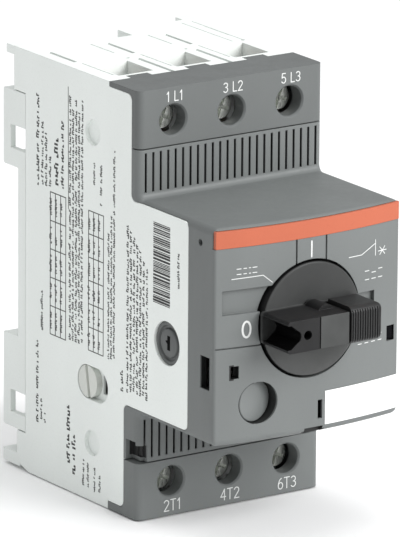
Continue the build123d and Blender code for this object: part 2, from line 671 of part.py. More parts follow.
# ---- trip bar, latch lever, trip flag ----------------------------------------------------------------
bearing_end = 21.3

with BuildPart() as trip_bar:
    cross_rod(1.3, (-bearing_end, bearing_end), trip_y, trip_z)
    for x in poles:
        block((x - 2.0, x + 2.0), (trip_y - 0.6, trip_y + 0.9), (coil_z - 2.4, trip_z))
        block((x - 1.2, x + 1.2), (trip_y + 0.5, pin_front - plunger_stroke - 0.2), (coil_z - 1.6, coil_z + 1.6))
    block((latch_x - 1.0, latch_x + 1.0), (trip_y - 5.6, trip_y), (trip_z - 1.0, trip_z + 0.2))
save(trip_bar.part, "trip_bar")

with BuildPart() as latch_lever:
    cross_rod(1.9, (latch_x - 1.2, latch_x + 1.2), latch_y, latch_z)
    block((latch_x - 1.0, latch_x + 1.0), (latch_y - 0.8, latch_y + 0.8), (latch_z, latch_z + 7.5))
    block((latch_x - 1.0, latch_x + 1.0), (latch_y, latch_y + 6.5), (latch_z - 1.2, latch_z + 0.2))
    cross_rod(0.86, (latch_x - 2, latch_x + 2), latch_y, latch_z, Mode.SUBTRACT)
save(latch_lever.part, "latch_lever")

with BuildPart() as latch_pin:
    cross_rod(0.78, (latch_x - 2.9, latch_x + 2.9), latch_y, latch_z)
save(latch_pin.part, "latch_pin")

with BuildPart() as trip_flag:
    block((flag_x - 0.7, flag_x + 0.7), (-69.4, -68.4), (flag_low, flag_low + 7.6))
    block((flag_x - 0.7, flag_x + 0.7), (-69.4, -46.5), (flag_low, flag_low + 1.4))
    block((flag_x - 0.7, flag_x + 0.7), (-48.0, -46.5), (flag_low, flag_low + 5.0))
save(trip_flag.part, "trip_flag")

trip_spring = Location((16.9, trip_y, trip_z), (0, 90, 0)) * coil_spring(1.9, 0.35, 2.0, 4)
save(trip_spring, "trip_spring")

# ---- test pusher -------------------------------------------------------------------------------------
pusher_back = -65.4
with BuildPart() as test_pusher:
    block((test_x - 0.8, test_x + 0.8), (-72.5, -66.9), (test_z - 1.35, test_z + 1.35))
    block((test_rod_x - 1.3, 20.6), (-68.4, pusher_back), (test_z - 1.35, test_z + 1.35))
    rod(0.7, test_rod_x, (-66.0, -50.0), test_z)
    fillet(test_pusher.edges().group_by(Axis.Y)[0], 0.3)
save(test_pusher.part, "test_pusher")

test_spring = Location((test_rod_x, pusher_back + 0.05, test_z), (-90, 0, 0)) * coil_spring(
    1.05, 0.25, plate_front - pusher_back - 0.1, 12)
save(test_spring, "test_spring")

# ---- rail latch --------------------------------------------------------------------------------------
with BuildPart() as rail_latch:
    block((-6.0, 6.0), (-seat_relief + 0.2, 1.55), (bottom + 1.2, -20.5))
    block((-4.8, 4.8), (-seat_relief + 0.2, 3.0), (-21.6, -17.9))
    block((-4.8, 4.8), (1.3, 3.0), (-17.9, -16.1))
    block((-1.9, 1.9), (-2.0, 2.0), (-34.2, -25.0), Mode.SUBTRACT)
    block((-2.2, 2.2), (-2.0, 4.0), (bottom + 2.6, bottom + 4.2), Mode.SUBTRACT)
    fillet(rail_latch.edges().filter_by(Axis.Y).group_by(Axis.Z)[0], 1.0)
save(rail_latch.part, "rail_latch")

rail_spring = Location((0, 0.05, -34.0)) * coil_spring(1.25, 0.4, 8.8, 7)
save(rail_spring, "rail_spring")

# ---- terminals ---------------------------------------------------------------------------------------
screw_head_back = -38.7
screw_tip = -31.0
shank_radius = 1.85
clamp_front = -33.4
clamp_back = -23.7
clamp_half_height = 3.5

with BuildPart() as terminal_clamps:
    for x in poles:
        for z in screw_z:
            block((x - 5.0, x + 5.0), (clamp_front, clamp_back), (z - clamp_half_height, z + clamp_half_height))
            block((x - 3.9, x + 3.9), (clamp_front + 2.2, clamp_back - 1.4), (z - 5, z + 5), Mode.SUBTRACT)
            rod(shank_radius + 0.05, x, (clamp_front - 1, clamp_front + 3), z, Mode.SUBTRACT)
save(terminal_clamps.part, "terminal_clamps")

with BuildPart() as terminal_screws:
    for x in poles:
        for z in screw_z:
            rod(screw_head_radius, x, (screw_head_front, screw_head_back), z)
            rod(shank_radius, x, (screw_head_back, screw_tip), z)
    rims = terminal_screws.edges().group_by(Axis.Y)[0]
    fillet(rims, 0.35)
    for x in poles:
        for z in screw_z:
            for turn, slot_width in ((20, 0.9), (110, 0.75)):
                with Locations(Location((x, screw_head_front, z), (0, turn, 0))):
                    Box(slot_width, 2.2, 4.1 if turn == 110 else 7.0, mode=Mode.SUBTRACT)
save(terminal_screws.part, "terminal_screws")
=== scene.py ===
"""Looks of the motor protection breaker: materials, printed marks, lights and camera."""
import math
import random

import bmesh
import bpy
from mathutils import Matrix, Vector


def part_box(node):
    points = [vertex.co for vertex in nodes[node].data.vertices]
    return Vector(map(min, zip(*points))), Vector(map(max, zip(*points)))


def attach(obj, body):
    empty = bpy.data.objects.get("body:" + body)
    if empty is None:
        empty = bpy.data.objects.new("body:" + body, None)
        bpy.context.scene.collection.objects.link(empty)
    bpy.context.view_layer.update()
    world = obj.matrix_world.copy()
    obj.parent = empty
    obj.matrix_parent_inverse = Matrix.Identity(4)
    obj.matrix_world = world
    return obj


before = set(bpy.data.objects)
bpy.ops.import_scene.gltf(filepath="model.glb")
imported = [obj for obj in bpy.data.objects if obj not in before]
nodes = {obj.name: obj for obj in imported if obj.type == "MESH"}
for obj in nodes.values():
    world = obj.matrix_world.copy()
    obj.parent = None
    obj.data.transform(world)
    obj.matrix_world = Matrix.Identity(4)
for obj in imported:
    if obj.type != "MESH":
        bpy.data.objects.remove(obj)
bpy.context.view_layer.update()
MM = 0.001

# The body that carries everything printed or fixed.
FIXED = "housing"

# Where the flat and curved faces lie, in millimetres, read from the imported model.
cover_low, cover_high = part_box("front_cover")
housing_low, housing_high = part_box("rear_housing")
HALF = cover_high.x / MM
FACE_APEX = cover_low.y / MM
TERMINAL_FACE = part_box("upper_terminal_cover")[0].y / MM
HANDLE_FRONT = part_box("knob")[0].y / MM
BOTTOM = housing_low.z / MM
TOP = housing_high.z / MM

# Places that no node's box gives, in millimetres.
BULGE = 2.3                 # how far the knob block's front swells ahead of its edges
BULGE_RADIUS = (HALF**2 + BULGE**2) / (2 * BULGE)
DISC_FRONT = -75.0
SEAM_X = -5.3               # seam across the handle's front
DIAL = (-12.7, 30.8)        # x, and height above the bottom, of the blanking cap
PORT = (-55.6, 40.2)        # y, and height above the bottom, of the setting ports


def h(above_bottom):
    """Z of a height above the bottom face."""
    return BOTTOM + above_bottom


# ---- materials ---------------------------------------------------------------------------------------
class Nodes:
    """Small wrapper that makes and links shader nodes."""

    def __init__(self, name):
        self.material = bpy.data.materials.new(name)
        self.material.use_nodes = True
        self.tree = self.material.node_tree
        self.shader = next(n for n in self.tree.nodes if n.type == "BSDF_PRINCIPLED")
        self.coord = self.add("ShaderNodeTexCoord").outputs["Object"]

    def add(self, kind, **values):
        node = self.tree.nodes.new(kind)
        for key, value in values.items():
            if hasattr(node, key):
                setattr(node, key, value)
            else:
                node.inputs[key.replace("_", " ")].default_value = value
        return node

    def link(self, output, target):
        self.tree.links.new(output, target)

    def noise(self, size, detail=3.0, rough=0.55, stretch=(1, 1, 1)):
        """Noise whose features are about `size` metres across; stretch lengthens them along an axis."""
        mapping = self.add("ShaderNodeMapping")
        mapping.inputs["Scale"].default_value = tuple(1 / (size * s) for s in stretch)
        self.link(self.coord, mapping.inputs["Vector"])
        texture = self.add("ShaderNodeTexNoise", Scale=1.0, Detail=detail, Roughness=rough)
        self.link(mapping.outputs["Vector"], texture.inputs["Vector"])
        return texture.outputs["Fac"]

    def ramp(self, factor, stops, smooth=False):
        node = self.add("ShaderNodeValToRGB")
        node.color_ramp.interpolation = "EASE" if smooth else "LINEAR"
        while len(node.color_ramp.elements) < len(stops):
            node.color_ramp.elements.new(0.5)
        for element, (place, colour) in zip(node.color_ramp.elements, stops):
            element.position = place
            element.color = (*colour, 1)
        self.link(factor, node.inputs["Fac"])
        return node.outputs["Color"]

    def span(self, factor, low, high, start=0.3, end=0.7):
        node = self.add("ShaderNodeMapRange")
        for key, value in (("From Min", start), ("From Max", end), ("To Min", low), ("To Max", high)):
            node.inputs[key].default_value = value
        self.link(factor, node.inputs["Value"])
        return node.outputs["Result"]

    def fade(self, coordinate, start, end, low=0.0, high=1.0):
        """Value that goes from low to high as a coordinate goes from start to end, in millimetres."""
        return self.span(coordinate, low, high, start * MM, end * MM)

    def two_tone(self, factor, dark, light):
        return self.ramp(factor, [(0.3, dark), (0.7, light)], smooth=True)

    def mix(self, factor, a, b):
        node = self.add("ShaderNodeMix", data_type="RGBA", blend_type="MIX")
        for value, target in ((factor, node.inputs[0]), (a, node.inputs[6]), (b, node.inputs[7])):
            if isinstance(value, (int, float)):
                target.default_value = value
            elif isinstance(value, tuple):
                target.default_value = (*value, 1)
            else:
                self.link(value, target)
        return node.outputs[2]

    def bump(self, height, depth, strength=1.0, normal=None):
        node = self.add("ShaderNodeBump")
        node.inputs["Strength"].default_value = strength
        node.inputs["Distance"].default_value = depth
        self.link(height, node.inputs["Height"])
        if normal:
            self.link(normal, node.inputs["Normal"])
        return node.outputs["Normal"]

    def axes(self):
        """The three coordinates of the surface point, as separate sockets."""
        separate = self.add("ShaderNodeSeparateXYZ")
        self.link(self.coord, separate.inputs[0])
        return [separate.outputs[axis] for axis in "XYZ"]

    def math(self, operation, a, b=None):
        node = self.add("ShaderNodeMath", operation=operation)
        for value, target in ((a, node.inputs[0]), (b, node.inputs[1])):
            if isinstance(value, (int, float)):
                target.default_value = value
            elif value is not None:
                self.link(value, target)
        return node.outputs[0]

    def inside_box(self, low, high):
        """1 inside the box between two corners, in millimetres, and 0 outside."""
        result = None
        for socket, a, b in zip(self.axes(), low, high):
            middle = self.math("SUBTRACT", socket, (a + b) / 2 * MM)
            near = self.math("LESS_THAN", self.math("ABSOLUTE", middle), (b - a) / 2 * MM)
            result = near if result is None else self.math("MULTIPLY", result, near)
        return result

    def inside_bore(self, centre, radius, front):
        """1 inside a bore along Y that starts behind `front`, in millimetres, and 0 outside."""
        x, y, z = self.axes()
        dx = self.math("SUBTRACT", x, centre[0] * MM)
        dz = self.math("SUBTRACT", z, centre[1] * MM)
        square = self.math("ADD", self.math("MULTIPLY", dx, dx), self.math("MULTIPLY", dz, dz))
        near = self.math("LESS_THAN", square, (radius * MM)**2)
        return self.math("MULTIPLY", near, self.math("GREATER_THAN", y, front * MM))

    def soft_edges(self, radius):
        return self.add("ShaderNodeBevel", samples=4, Radius=radius).outputs["Normal"]


def tint(colour, factor):
    return tuple(min(1.0, c * factor) for c in colour)


def moulded(name, colour, rough, gloss=0.5, grain=0.00035, depth=0.000012, edge=0.00018, spread=0.05,
            flow=0.06, shade_boxes=(), shade_bores=()):
    """Injection-moulded plastic: spark-eroded grain, faint flow shading, scuffs and rounded edges.

    The boxes and bores it is given are places, in millimetres, where the plastic is painted nearly black as
    the shade inside recesses.
    """
    m = Nodes(name)
    broad = m.noise(0.018, 2.0, stretch=(1, 1, 2.5))
    fine = m.noise(grain, 2.0)
    scuff = m.noise(0.004, 6.0, 0.7, stretch=(1, 1, 4))
    base = m.two_tone(broad, tint(colour, 1 - flow), tint(colour, 1 + flow * 0.6))
    speckle_and_shade = m.mix(m.span(fine, 0.0, 0.22, 0.55, 0.8), base, tint(colour, 0.72))
    # Painted shade: inside each given box and bore the colour drops to nearly black, standing in for the
    # shade of a window, slot, vent or recess.
    for low, high in shade_boxes:
        speckle_and_shade = m.mix(m.inside_box(low, high), speckle_and_shade, tint(colour, 0.06))
    for centre, radius, front in shade_bores:
        speckle_and_shade = m.mix(m.inside_bore(centre, radius, front), speckle_and_shade, tint(colour, 0.1))
    m.link(speckle_and_shade, m.shader.inputs["Base Color"])
    m.link(m.span(scuff, rough - spread, rough + spread, 0.35, 0.65), m.shader.inputs["Roughness"])
    m.shader.inputs["Specular IOR Level"].default_value = gloss
    normal = m.bump(fine, depth, 0.8, m.soft_edges(edge) if edge else None)
    m.link(normal, m.shader.inputs["Normal"])
    return m.material


def metal(name, colour, rough, grain=(1, 1, 14), size=0.0006, depth=0.000006, stain=0.12, edge=0.0001):
    """Plated or bare metal with drawn scratches, cloudy stains and uneven polish."""
    m = Nodes(name)
    scratch = m.noise(size, 4.0, 0.65, stretch=grain)
    cloud = m.noise(0.0035, 3.0, 0.6)
    worn, bright = tint(colour, 1 - stain), tint(colour, 1 + stain * 0.5)
    base = m.ramp(cloud, [(0.3, worn), (0.5, colour), (0.75, bright)])
    m.link(m.mix(m.span(scratch, 0.0, 0.25), base, tint(colour, 0.6)), m.shader.inputs["Base Color"])
    m.shader.inputs["Metallic"].default_value = 1.0
    m.link(m.span(scratch, rough - 0.08, rough + 0.12), m.shader.inputs["Roughness"])
    m.link(m.bump(scratch, depth, 0.9, m.soft_edges(edge)), m.shader.inputs["Normal"])
    return m.material


def knob_plastic():
    """Black knob: dark grey disc with painted shade on its rim and towards its top, its face partly its own
    tone and partly painted sheen; deeper black handle with a greyer right half and painted shade in its
    hollow.
    """
    m = Nodes("knob_black")
    x, y, z = m.axes()
    fine = m.noise(0.0003, 2.0)
    haze = m.noise(0.006, 4.0, 0.6)

    # Painted shade and sheen: the disc's sides and back are painted near black as shade, and its face is kept
    # dark grey, partly its own tone and partly painted sheen.
    rim_shade = m.fade(y, DISC_FRONT + 0.15, DISC_FRONT + 0.35)
    disc = m.two_tone(haze, (0.052, 0.054, 0.053), (0.066, 0.068, 0.067))
    # Painted shade: the disc's face darkens towards its top, up to 0.55 of the way to near black.
    disc = m.mix(m.fade(z, -4.0, 10.0, 0.0, 0.55), disc, (0.016, 0.0165, 0.0165))
    edge = m.two_tone(haze, (0.006, 0.006, 0.0062), (0.010, 0.010, 0.0105))
    base = m.mix(rim_shade, disc, edge)

    beyond_seam = m.fade(x, SEAM_X, SEAM_X + 0.3)
    face = m.fade(y, HANDLE_FRONT + 0.05, HANDLE_FRONT + 0.25, 1.0, 0.0)
    # Painted shade: inside the handle's hollow the colour drops to nearly black.
    hollow_shade = m.inside_box((-14.0, HANDLE_FRONT + 0.2, -2.56), (-9.7, DISC_FRONT + 1.0, 2.56))
    handle = m.two_tone(haze, (0.0050, 0.0050, 0.0053), (0.009, 0.009, 0.0095))
    grey = m.two_tone(haze, (0.040, 0.042, 0.041), (0.052, 0.054, 0.053))
    body = m.mix(m.math("MULTIPLY", beyond_seam, face), handle, grey)
    body = m.mix(hollow_shade, body, (0.0025, 0.0025, 0.0025))

    raised = m.fade(y, DISC_FRONT - 1.0, DISC_FRONT - 0.4, 1.0, 0.0)
    m.link(m.mix(raised, base, body), m.shader.inputs["Base Color"])
    m.link(m.span(haze, 0.38, 0.52), m.shader.inputs["Roughness"])
    # Less specular reflection inside the hollow, so the painted shade there stays dark.
    m.link(m.span(hollow_shade, 0.28, 0.02, 0.0, 1.0), m.shader.inputs["Specular IOR Level"])
    m.link(m.bump(fine, 0.000012, 0.8, m.soft_edges(0.00025)), m.shader.inputs["Normal"])
    return m.material


def enamel_wire():
    """Enamelled copper winding: warm lacquer with darker gaps between the turns."""
    m = Nodes("enamel_wire")
    wave = m.add("ShaderNodeTexWave", wave_type="BANDS", bands_direction="Y")
    wave.inputs["Scale"].default_value = 260.0
    m.link(m.coord, wave.inputs["Vector"])
    cloud = m.noise(0.002, 3.0)
    lacquer = m.ramp(cloud, [(0.3, (0.32, 0.09, 0.03)), (0.7, (0.5, 0.17, 0.06))])
    m.link(m.mix(wave.outputs["Fac"], (0.12, 0.03, 0.01), lacquer), m.shader.inputs["Base Color"])
    m.shader.inputs["Metallic"].default_value = 0.7
    m.shader.inputs["Coat Weight"].default_value = 0.6
    m.link(m.span(cloud, 0.25, 0.4), m.shader.inputs["Roughness"])
    m.link(m.bump(wave.outputs["Fac"], 0.00006, 0.6), m.shader.inputs["Normal"])
    return m.material


def fibre_board():
    """Vulcanised fibre: mottled red-brown sheet with a felted surface."""
    m = Nodes("fibre_board")
    felt = m.noise(0.0005, 5.0, 0.7, stretch=(1, 1, 5))
    blotch = m.noise(0.005, 3.0)
    base = m.ramp(blotch, [(0.3, (0.3, 0.1, 0.05)), (0.7, (0.42, 0.17, 0.09))])
    m.link(m.mix(m.span(felt, 0.0, 0.35), base, (0.2, 0.07, 0.04)), m.shader.inputs["Base Color"])
    m.shader.inputs["Roughness"].default_value = 0.75
    m.link(m.bump(felt, 0.00004, 0.8), m.shader.inputs["Normal"])
    return m.material


def printed(name, colour, rough=0.5, patchy=0.1):
    """Pad-printed ink: slightly uneven cover and a dry surface."""
    m = Nodes(name)
    cover = m.noise(0.0004, 3.0, 0.6)
    m.link(m.ramp(cover, [(0.25, tint(colour, 1 - patchy)), (0.6, colour)]), m.shader.inputs["Base Color"])
    m.link(m.span(cover, rough + 0.1, rough - 0.1), m.shader.inputs["Roughness"])
    m.link(m.bump(cover, 0.000008, 0.6), m.shader.inputs["Normal"])
    return m.material


WHITE = (0.80, 0.835, 0.81)
GREY = (0.142, 0.152, 0.150)
white_plastic = moulded("white_plastic", WHITE, 0.48, 0.4, flow=0.02)
base_plastic = moulded("rail_base_plastic", tint(WHITE, 0.97), 0.52, 0.4, flow=0.03)
plug_plastic = moulded("plug_plastic", (0.62, 0.64, 0.60), 0.4, 0.5, flow=0.04)
# Windows, slots and vents of the front cover, as corners in millimetres; inside them the cover is painted
# nearly black as shade.
FLAG_WINDOW = ((-19.2, -73.2, h(36.1)), (-16.8, -60.0, h(39.3)))
TEST_WINDOW = ((19.0, -72.4, h(38.1)), (21.5, -60.0, h(41.9)))
LABEL_SLOT = ((1.1, -74.2, h(25.2)), (2.6, -60.0, h(29.6)))
LEFT_SLOT = ((-22.2, -71.2, h(33.7)), (-18.0, -67.3, h(41.1)))
RIGHT_SLOT = ((18.0, -71.2, h(33.7)), (22.2, -67.3, h(41.1)))
LOWER_VENTS = ((-21.6, -44.8, h(13.0)), (21.6, -36.0, h(21.4)))
UPPER_VENTS = ((-21.6, -44.8, TOP - 21.2), (21.6, -36.0, TOP - 12.8))
THUMB_NOTCH = ((-2.4, -74.4, h(22.4)), (3.1, -70.0, h(23.75)))
PAINTED_SHADE_BOXES = (FLAG_WINDOW, TEST_WINDOW, LABEL_SLOT, LEFT_SLOT, RIGHT_SLOT, LOWER_VENTS, UPPER_VENTS,
              THUMB_NOTCH)
# Painted shade on the wall of the dial's recess: the cover turns dark inside this bore, behind the face.
DIAL_SHADE_BORE = ((DIAL[0], h(DIAL[1])), 4.45, -73.85)
grey_plastic = moulded("grey_plastic", GREY, 0.5, 0.42, flow=0.05)
# Painted shade: the upper terminal cover is the same grey plastic as the lower one, darkened to 0.8.
upper_shaded_plastic = moulded("upper_cover_shaded_plastic", tint(GREY, 0.8), 0.5, 0.42, flow=0.05)
# The front cover's plastic, carrying the painted shade of its windows, slots, vents and dial recess.
cover_plastic = moulded("cover_plastic", GREY, 0.5, 0.42, flow=0.05, shade_boxes=PAINTED_SHADE_BOXES,
                        shade_bores=(DIAL_SHADE_BORE,))
dial_plastic = moulded("dial_plastic", tint(GREY, 1.03), 0.42, 0.45, flow=0.05, edge=0.0003)
port_plastic = moulded("port_plastic", tint(GREY, 0.62), 0.42, 0.45, flow=0.06)
slide_plastic = moulded("slide_plastic", (0.014, 0.0145, 0.0145), 0.42, 0.35, edge=0.0002)
shaft_plastic = moulded("shaft_plastic", (0.03, 0.03, 0.032), 0.45)
mechanism_plastic = moulded("mechanism_plastic", (0.035, 0.035, 0.038), 0.55, flow=0.12)
orange_plastic = moulded("orange_strip", (0.435, 0.105, 0.050), 0.42, 0.4, flow=0.04, depth=0.000006,
                         edge=0.0001)
label_plastic = moulded("label_film", (0.86, 0.87, 0.86), 0.38, 0.4, flow=0.01, depth=0.000004, edge=0.0001)
flag_plastic = moulded("flag_red", (0.45, 0.03, 0.02), 0.45)
pusher_plastic = moulded("pusher_black", (0.004, 0.004, 0.005), 0.8, 0.05)
latch_plastic = moulded("latch_plastic", (0.05, 0.05, 0.052), 0.5)
zinc = metal("zinc_screw", (0.62, 0.64, 0.60), 0.28)
plate_steel = metal("plate_steel", (0.56, 0.56, 0.54), 0.34, grain=(10, 1, 1))
clamp_steel = metal("clamp_steel", (0.60, 0.60, 0.56), 0.36, grain=(1, 8, 1))
iron = metal("soft_iron", (0.40, 0.40, 0.40), 0.42, grain=(1, 10, 1))
spring_wire = metal("spring_wire", (0.52, 0.52, 0.50), 0.3, size=0.0003)
chute_steel = metal("chute_steel", (0.50, 0.48, 0.44), 0.4, grain=(1, 10, 1))
copper = metal("copper_strip", (0.70, 0.36, 0.20), 0.32, grain=(1, 1, 12), stain=0.25)
silver = metal("silver_tip", (0.78, 0.77, 0.74), 0.35, grain=(1, 1, 1), stain=0.2)
white_ink = printed("white_ink", (0.66, 0.67, 0.66))
black_ink = printed("black_ink", (0.022, 0.022, 0.022), 0.6, 0.3)
# Near-black sheet material for the ports' key slots: painted shade where the slot's inside would be.
slot_shade_plastic = moulded("slot_shade_black", (0.004, 0.004, 0.004), 0.8, 0.05)

LOOKS = {
    "rear_housing": white_plastic,
    "rail_base": base_plastic,
    "side_plugs": plug_plastic,
    "front_cover": cover_plastic,
    "upper_terminal_cover": upper_shaded_plastic,
    "lower_terminal_cover": grey_plastic,
    "colour_strip": orange_plastic,
    "label_plate": label_plastic,
    "dial_blank": dial_plastic,
    "knob": knob_plastic(),
    "knob_shaft": shaft_plastic,
    "lock_slide": slide_plastic,
    "cam_drum": mechanism_plastic,
    "contact_carrier": mechanism_plastic,
    "trip_bar": mechanism_plastic,
    "coil_bobbins": mechanism_plastic,
    "trip_flag": flag_plastic,
    "test_pusher": pusher_plastic,
    "rail_latch": latch_plastic,
    "terminal_screws": zinc,
    "plate_screws": zinc,
    "latch_pin": zinc,
    "mechanism_plate": plate_steel,
    "latch_lever": plate_steel,
    "terminal_clamps": clamp_steel,
    "magnet_yokes": iron,
    "fixed_cores": iron,
    "line_conductors": copper,
    "load_conductors": copper,
    "moving_contacts": copper,
    "magnet_coils": enamel_wire(),
    "contact_tips": silver,
    "arc_plates": chute_steel,
    "arc_frames": fibre_board(),
}

# Every spring takes the spring wire, and the plungers take the soft iron.
for name, node in nodes.items():
    look = LOOKS.get(name) or (spring_wire if "spring" in name else iron)
    node.data.materials.clear()
    node.data.materials.append(look)


# ---- printed marks -----------------------------------------------------------------------------------
def face_y(x):
    """Depth of the knob block's curved front at x, in millimetres."""
    return FACE_APEX + BULGE_RADIUS - math.sqrt(BULGE_RADIUS**2 - x * x)


INK = 0.035                 # thickness of the ink film
INK_STEP = 0.0015           # overlapping strokes differ by this, so that no two share a plane
INK_LEVELS = 9


def on_curved_front(x, z, lift):
    return (x * MM, (face_y(x) - lift) * MM, z * MM)


def on_terminal_face(x, z, lift):
    return (x * MM, (TERMINAL_FACE - lift) * MM, z * MM)


def on_left_side(y, z, lift):
    return ((-HALF - lift) * MM, y * MM, z * MM)


def capsule(a, b, width):
    """Outline of a stroke from a to b with round ends."""
    ax, ay = a
    bx, by = b
    angle = math.atan2(by - ay, bx - ax)
    outline = []
    for (cx, cy), start in ((b, angle - math.pi / 2), (a, angle + math.pi / 2)):
        for i in range(7):
            t = start + math.pi * i / 6
            outline.append((cx + width / 2 * math.cos(t), cy + width / 2 * math.sin(t)))
    return outline


def rectangle(low, high):
    return [(low[0], low[1]), (high[0], low[1]), (high[0], high[1]), (low[0], high[1])]


def add_prism(mesh, front, back):
    """Closed prism between two outlines with the same number of corners."""
    front = [mesh.verts.new(corner) for corner in front]
    back = [mesh.verts.new(corner) for corner in back]
    mesh.faces.new(front)
    mesh.faces.new(list(reversed(back)))
    for i in range(len(front)):
        j = (i + 1) % len(front)
        mesh.faces.new((front[j], front[i], back[i], back[j]))


def make_piece(name, mesh, material, place=(0, 0, 0)):
    """Finished piece from a bmesh, riding on the fixed body."""
    bmesh.ops.recalc_face_normals(mesh, faces=mesh.faces)
    data = bpy.data.meshes.new(name)
    mesh.to_mesh(data)
    mesh.free()
    data.materials.append(material)
    piece = bpy.data.objects.new(name, data)
    piece.location = place
    bpy.context.scene.collection.objects.link(piece)
    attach(piece, FIXED)
    return piece


def film(name, outlines, surface, material):
    """Thin closed prisms over flat outlines, laid on a surface of the object."""
    mesh = bmesh.new()
    for order, outline in enumerate(outlines):
        lift = INK + INK_STEP * (order % INK_LEVELS)
        add_prism(mesh, [surface(u, v, lift) for u, v in outline], [surface(u, v, 0.0) for u, v in outline])
    make_piece(name, mesh, material)


def strokes(path, width, step=1.0):
    """Round-ended strokes along a path, cut into short runs so that they follow a curved face."""
    outlines = []
    for a, b in zip(path, path[1:]):
        runs = max(1, math.ceil(math.dist(a, b) / step))
        for i in range(runs):
            p = tuple(a[k] + (b[k] - a[k]) * i / runs for k in (0, 1))
            q = tuple(a[k] + (b[k] - a[k]) * (i + 1) / runs for k in (0, 1))
            outlines.append(capsule(p, q, width))
    return outlines


def arc(cx, cy, rx, ry, start, end, count=16):
    return [(cx + rx * math.cos(math.radians(start + (end - start) * i / count)),
             cy + ry * math.sin(math.radians(start + (end - start) * i / count))) for i in range(count + 1)]


# Single-stroke figures on a cell one unit high and about 0.6 wide.
FIGURES = {
    "0": (0.56, [arc(0.28, 0.5, 0.26, 0.48, 0, 360, 24)]),
    "1": (0.34, [[(0.04, 0.78), (0.22, 1.0), (0.22, 0.0)]]),
    "2": (0.54, [arc(0.26, 0.73, 0.24, 0.25, 165, -35, 12) + [(0.03, 0.0), (0.52, 0.0)]]),
    "3": (0.54, [arc(0.25, 0.75, 0.23, 0.23, 150, -90, 12), arc(0.25, 0.27, 0.25, 0.26, 90, -150, 12)]),
    "4": (0.58, [[(0.42, 0.0), (0.42, 1.0), (0.02, 0.3), (0.56, 0.3)]]),
    "5": (0.54, [[(0.48, 1.0), (0.1, 1.0), (0.06, 0.55)] + arc(0.26, 0.32, 0.25, 0.31, 120, -150, 14)]),
    "6": (0.54, [arc(0.28, 0.3, 0.24, 0.3, 0, 360, 20), arc(0.5, 0.32, 0.46, 0.68, 180, 105, 10)]),
    "L": (0.48, [[(0.04, 1.0), (0.04, 0.0), (0.46, 0.0)]]),
    "T": (0.56, [[(0.0, 1.0), (0.54, 1.0)], [(0.27, 1.0), (0.27, 0.0)]]),
    " ": (0.28, []),
}


def figures(text, centre, base, height, width, gap=0.16):
    """Strokes for a short code of figures, centred on `centre` with its foot at `base`."""
    total = sum(FIGURES[c][0] for c in text) + gap * (len(text) - 1)
    x = centre - total * height / 2
    outlines = []
    for c in text:
        cell, paths = FIGURES[c]
        for path in paths:
            outlines += strokes([(x + u * height, base + v * height) for u, v in path], width)
        x += (cell + gap) * height
    return outlines


front_marks = []
front_marks += strokes([(-0.6, h(59.5)), (-0.6, h(62.7))], 0.34)
front_marks += figures("0", -15.5, h(44.7), 3.4, 0.42)
# call-out lines and the overload symbol
THIN = 0.16                 # width of a fine line
front_marks += strokes([(-18.8, h(57.1)), (-11.9, h(57.2)), (-9.8, h(55.5))], THIN)
front_marks += strokes([(8.8, h(57.8)), (12.1, h(57.8)), (15.8, h(59.6))], THIN)
front_marks += strokes([(15.8, h(57.1)), (15.8, h(60.3))], THIN)
front_marks += strokes([(16.6, h(57.8)), (18.8, h(57.8))], THIN)
front_marks += strokes([(17.0, h(57.0)), (18.4, h(58.6))], THIN)
front_marks += strokes([(18.4, h(57.0)), (17.0, h(58.6))], THIN)
# plain bars where words would stand
for low, high in ((-17.7, -16.8), (-16.2, -15.6), (-15.0, -14.7), (-14.2, -13.3)):
    front_marks += strokes([(low, h(58.0)), (high, h(58.0))], THIN)
    front_marks += strokes([(low, h(59.1)), (high, h(59.1))], THIN)
for i, left in enumerate((13.1, 14.9, 16.7)):
    front_marks += strokes([(left, h(52.4)), (left + 1.0, h(52.4))], THIN)
    front_marks += strokes([(left, h(54.2 - 0.5 * (i % 2))), (left + 1.0, h(54.2 - 0.5 * (i % 2)))], THIN)
for left in (11.4, 13.2, 15.0, 16.8):
    front_marks += strokes([(left, h(39.2)), (left + 0.9, h(39.2))], THIN)
    front_marks += strokes([(left, h(40.6)), (left + 0.9, h(40.6))], THIN)
film("front_marks", front_marks, on_curved_front, white_ink)

terminal_marks = []
for x, upper, lower in ((-14.2, "1 L1", "2T1"), (0.0, "3 L2", "4T2"), (14.2, "5 L3", "6T3")):
    terminal_marks += figures(upper, x + 0.3, h(87.1), 2.0, 0.2)
    terminal_marks += figures(lower, x + 0.3, h(1.0), 2.3, 0.2)
film("terminal_marks", terminal_marks, on_terminal_face, white_ink)

# ---- side print: rules, tables and rows of ticks, nothing readable -----------------------------------
rng = random.Random(7)


def tick_row(y, low, high, size, fill=0.9):
    """A row of short ticks along Z, broken into groups like words."""
    outlines = []
    pitch = 0.62 * size
    z = low
    while z < high:
        length = rng.uniform(1.6, 5.5) * size
        end = min(high, z + length)
        while z + 0.4 * size < end:
            reach = size * rng.choice((0.55, 0.75, 1.0))
            start = y + rng.choice((0.0, 0.2)) * size
            if rng.random() < fill:
                outlines.append(rectangle((start, z), (start + reach * 0.9, z + 0.32 * size)))
                if rng.random() < 0.75:
                    side = start + rng.choice((0.0, reach * 0.7))
                    outlines.append(rectangle((side, z), (side + 0.28 * size, z + 0.58 * size)))
            z += pitch
        z += 0.6 * size
    return outlines


def rule(a, b, width=0.18):
    return capsule(a, b, width)


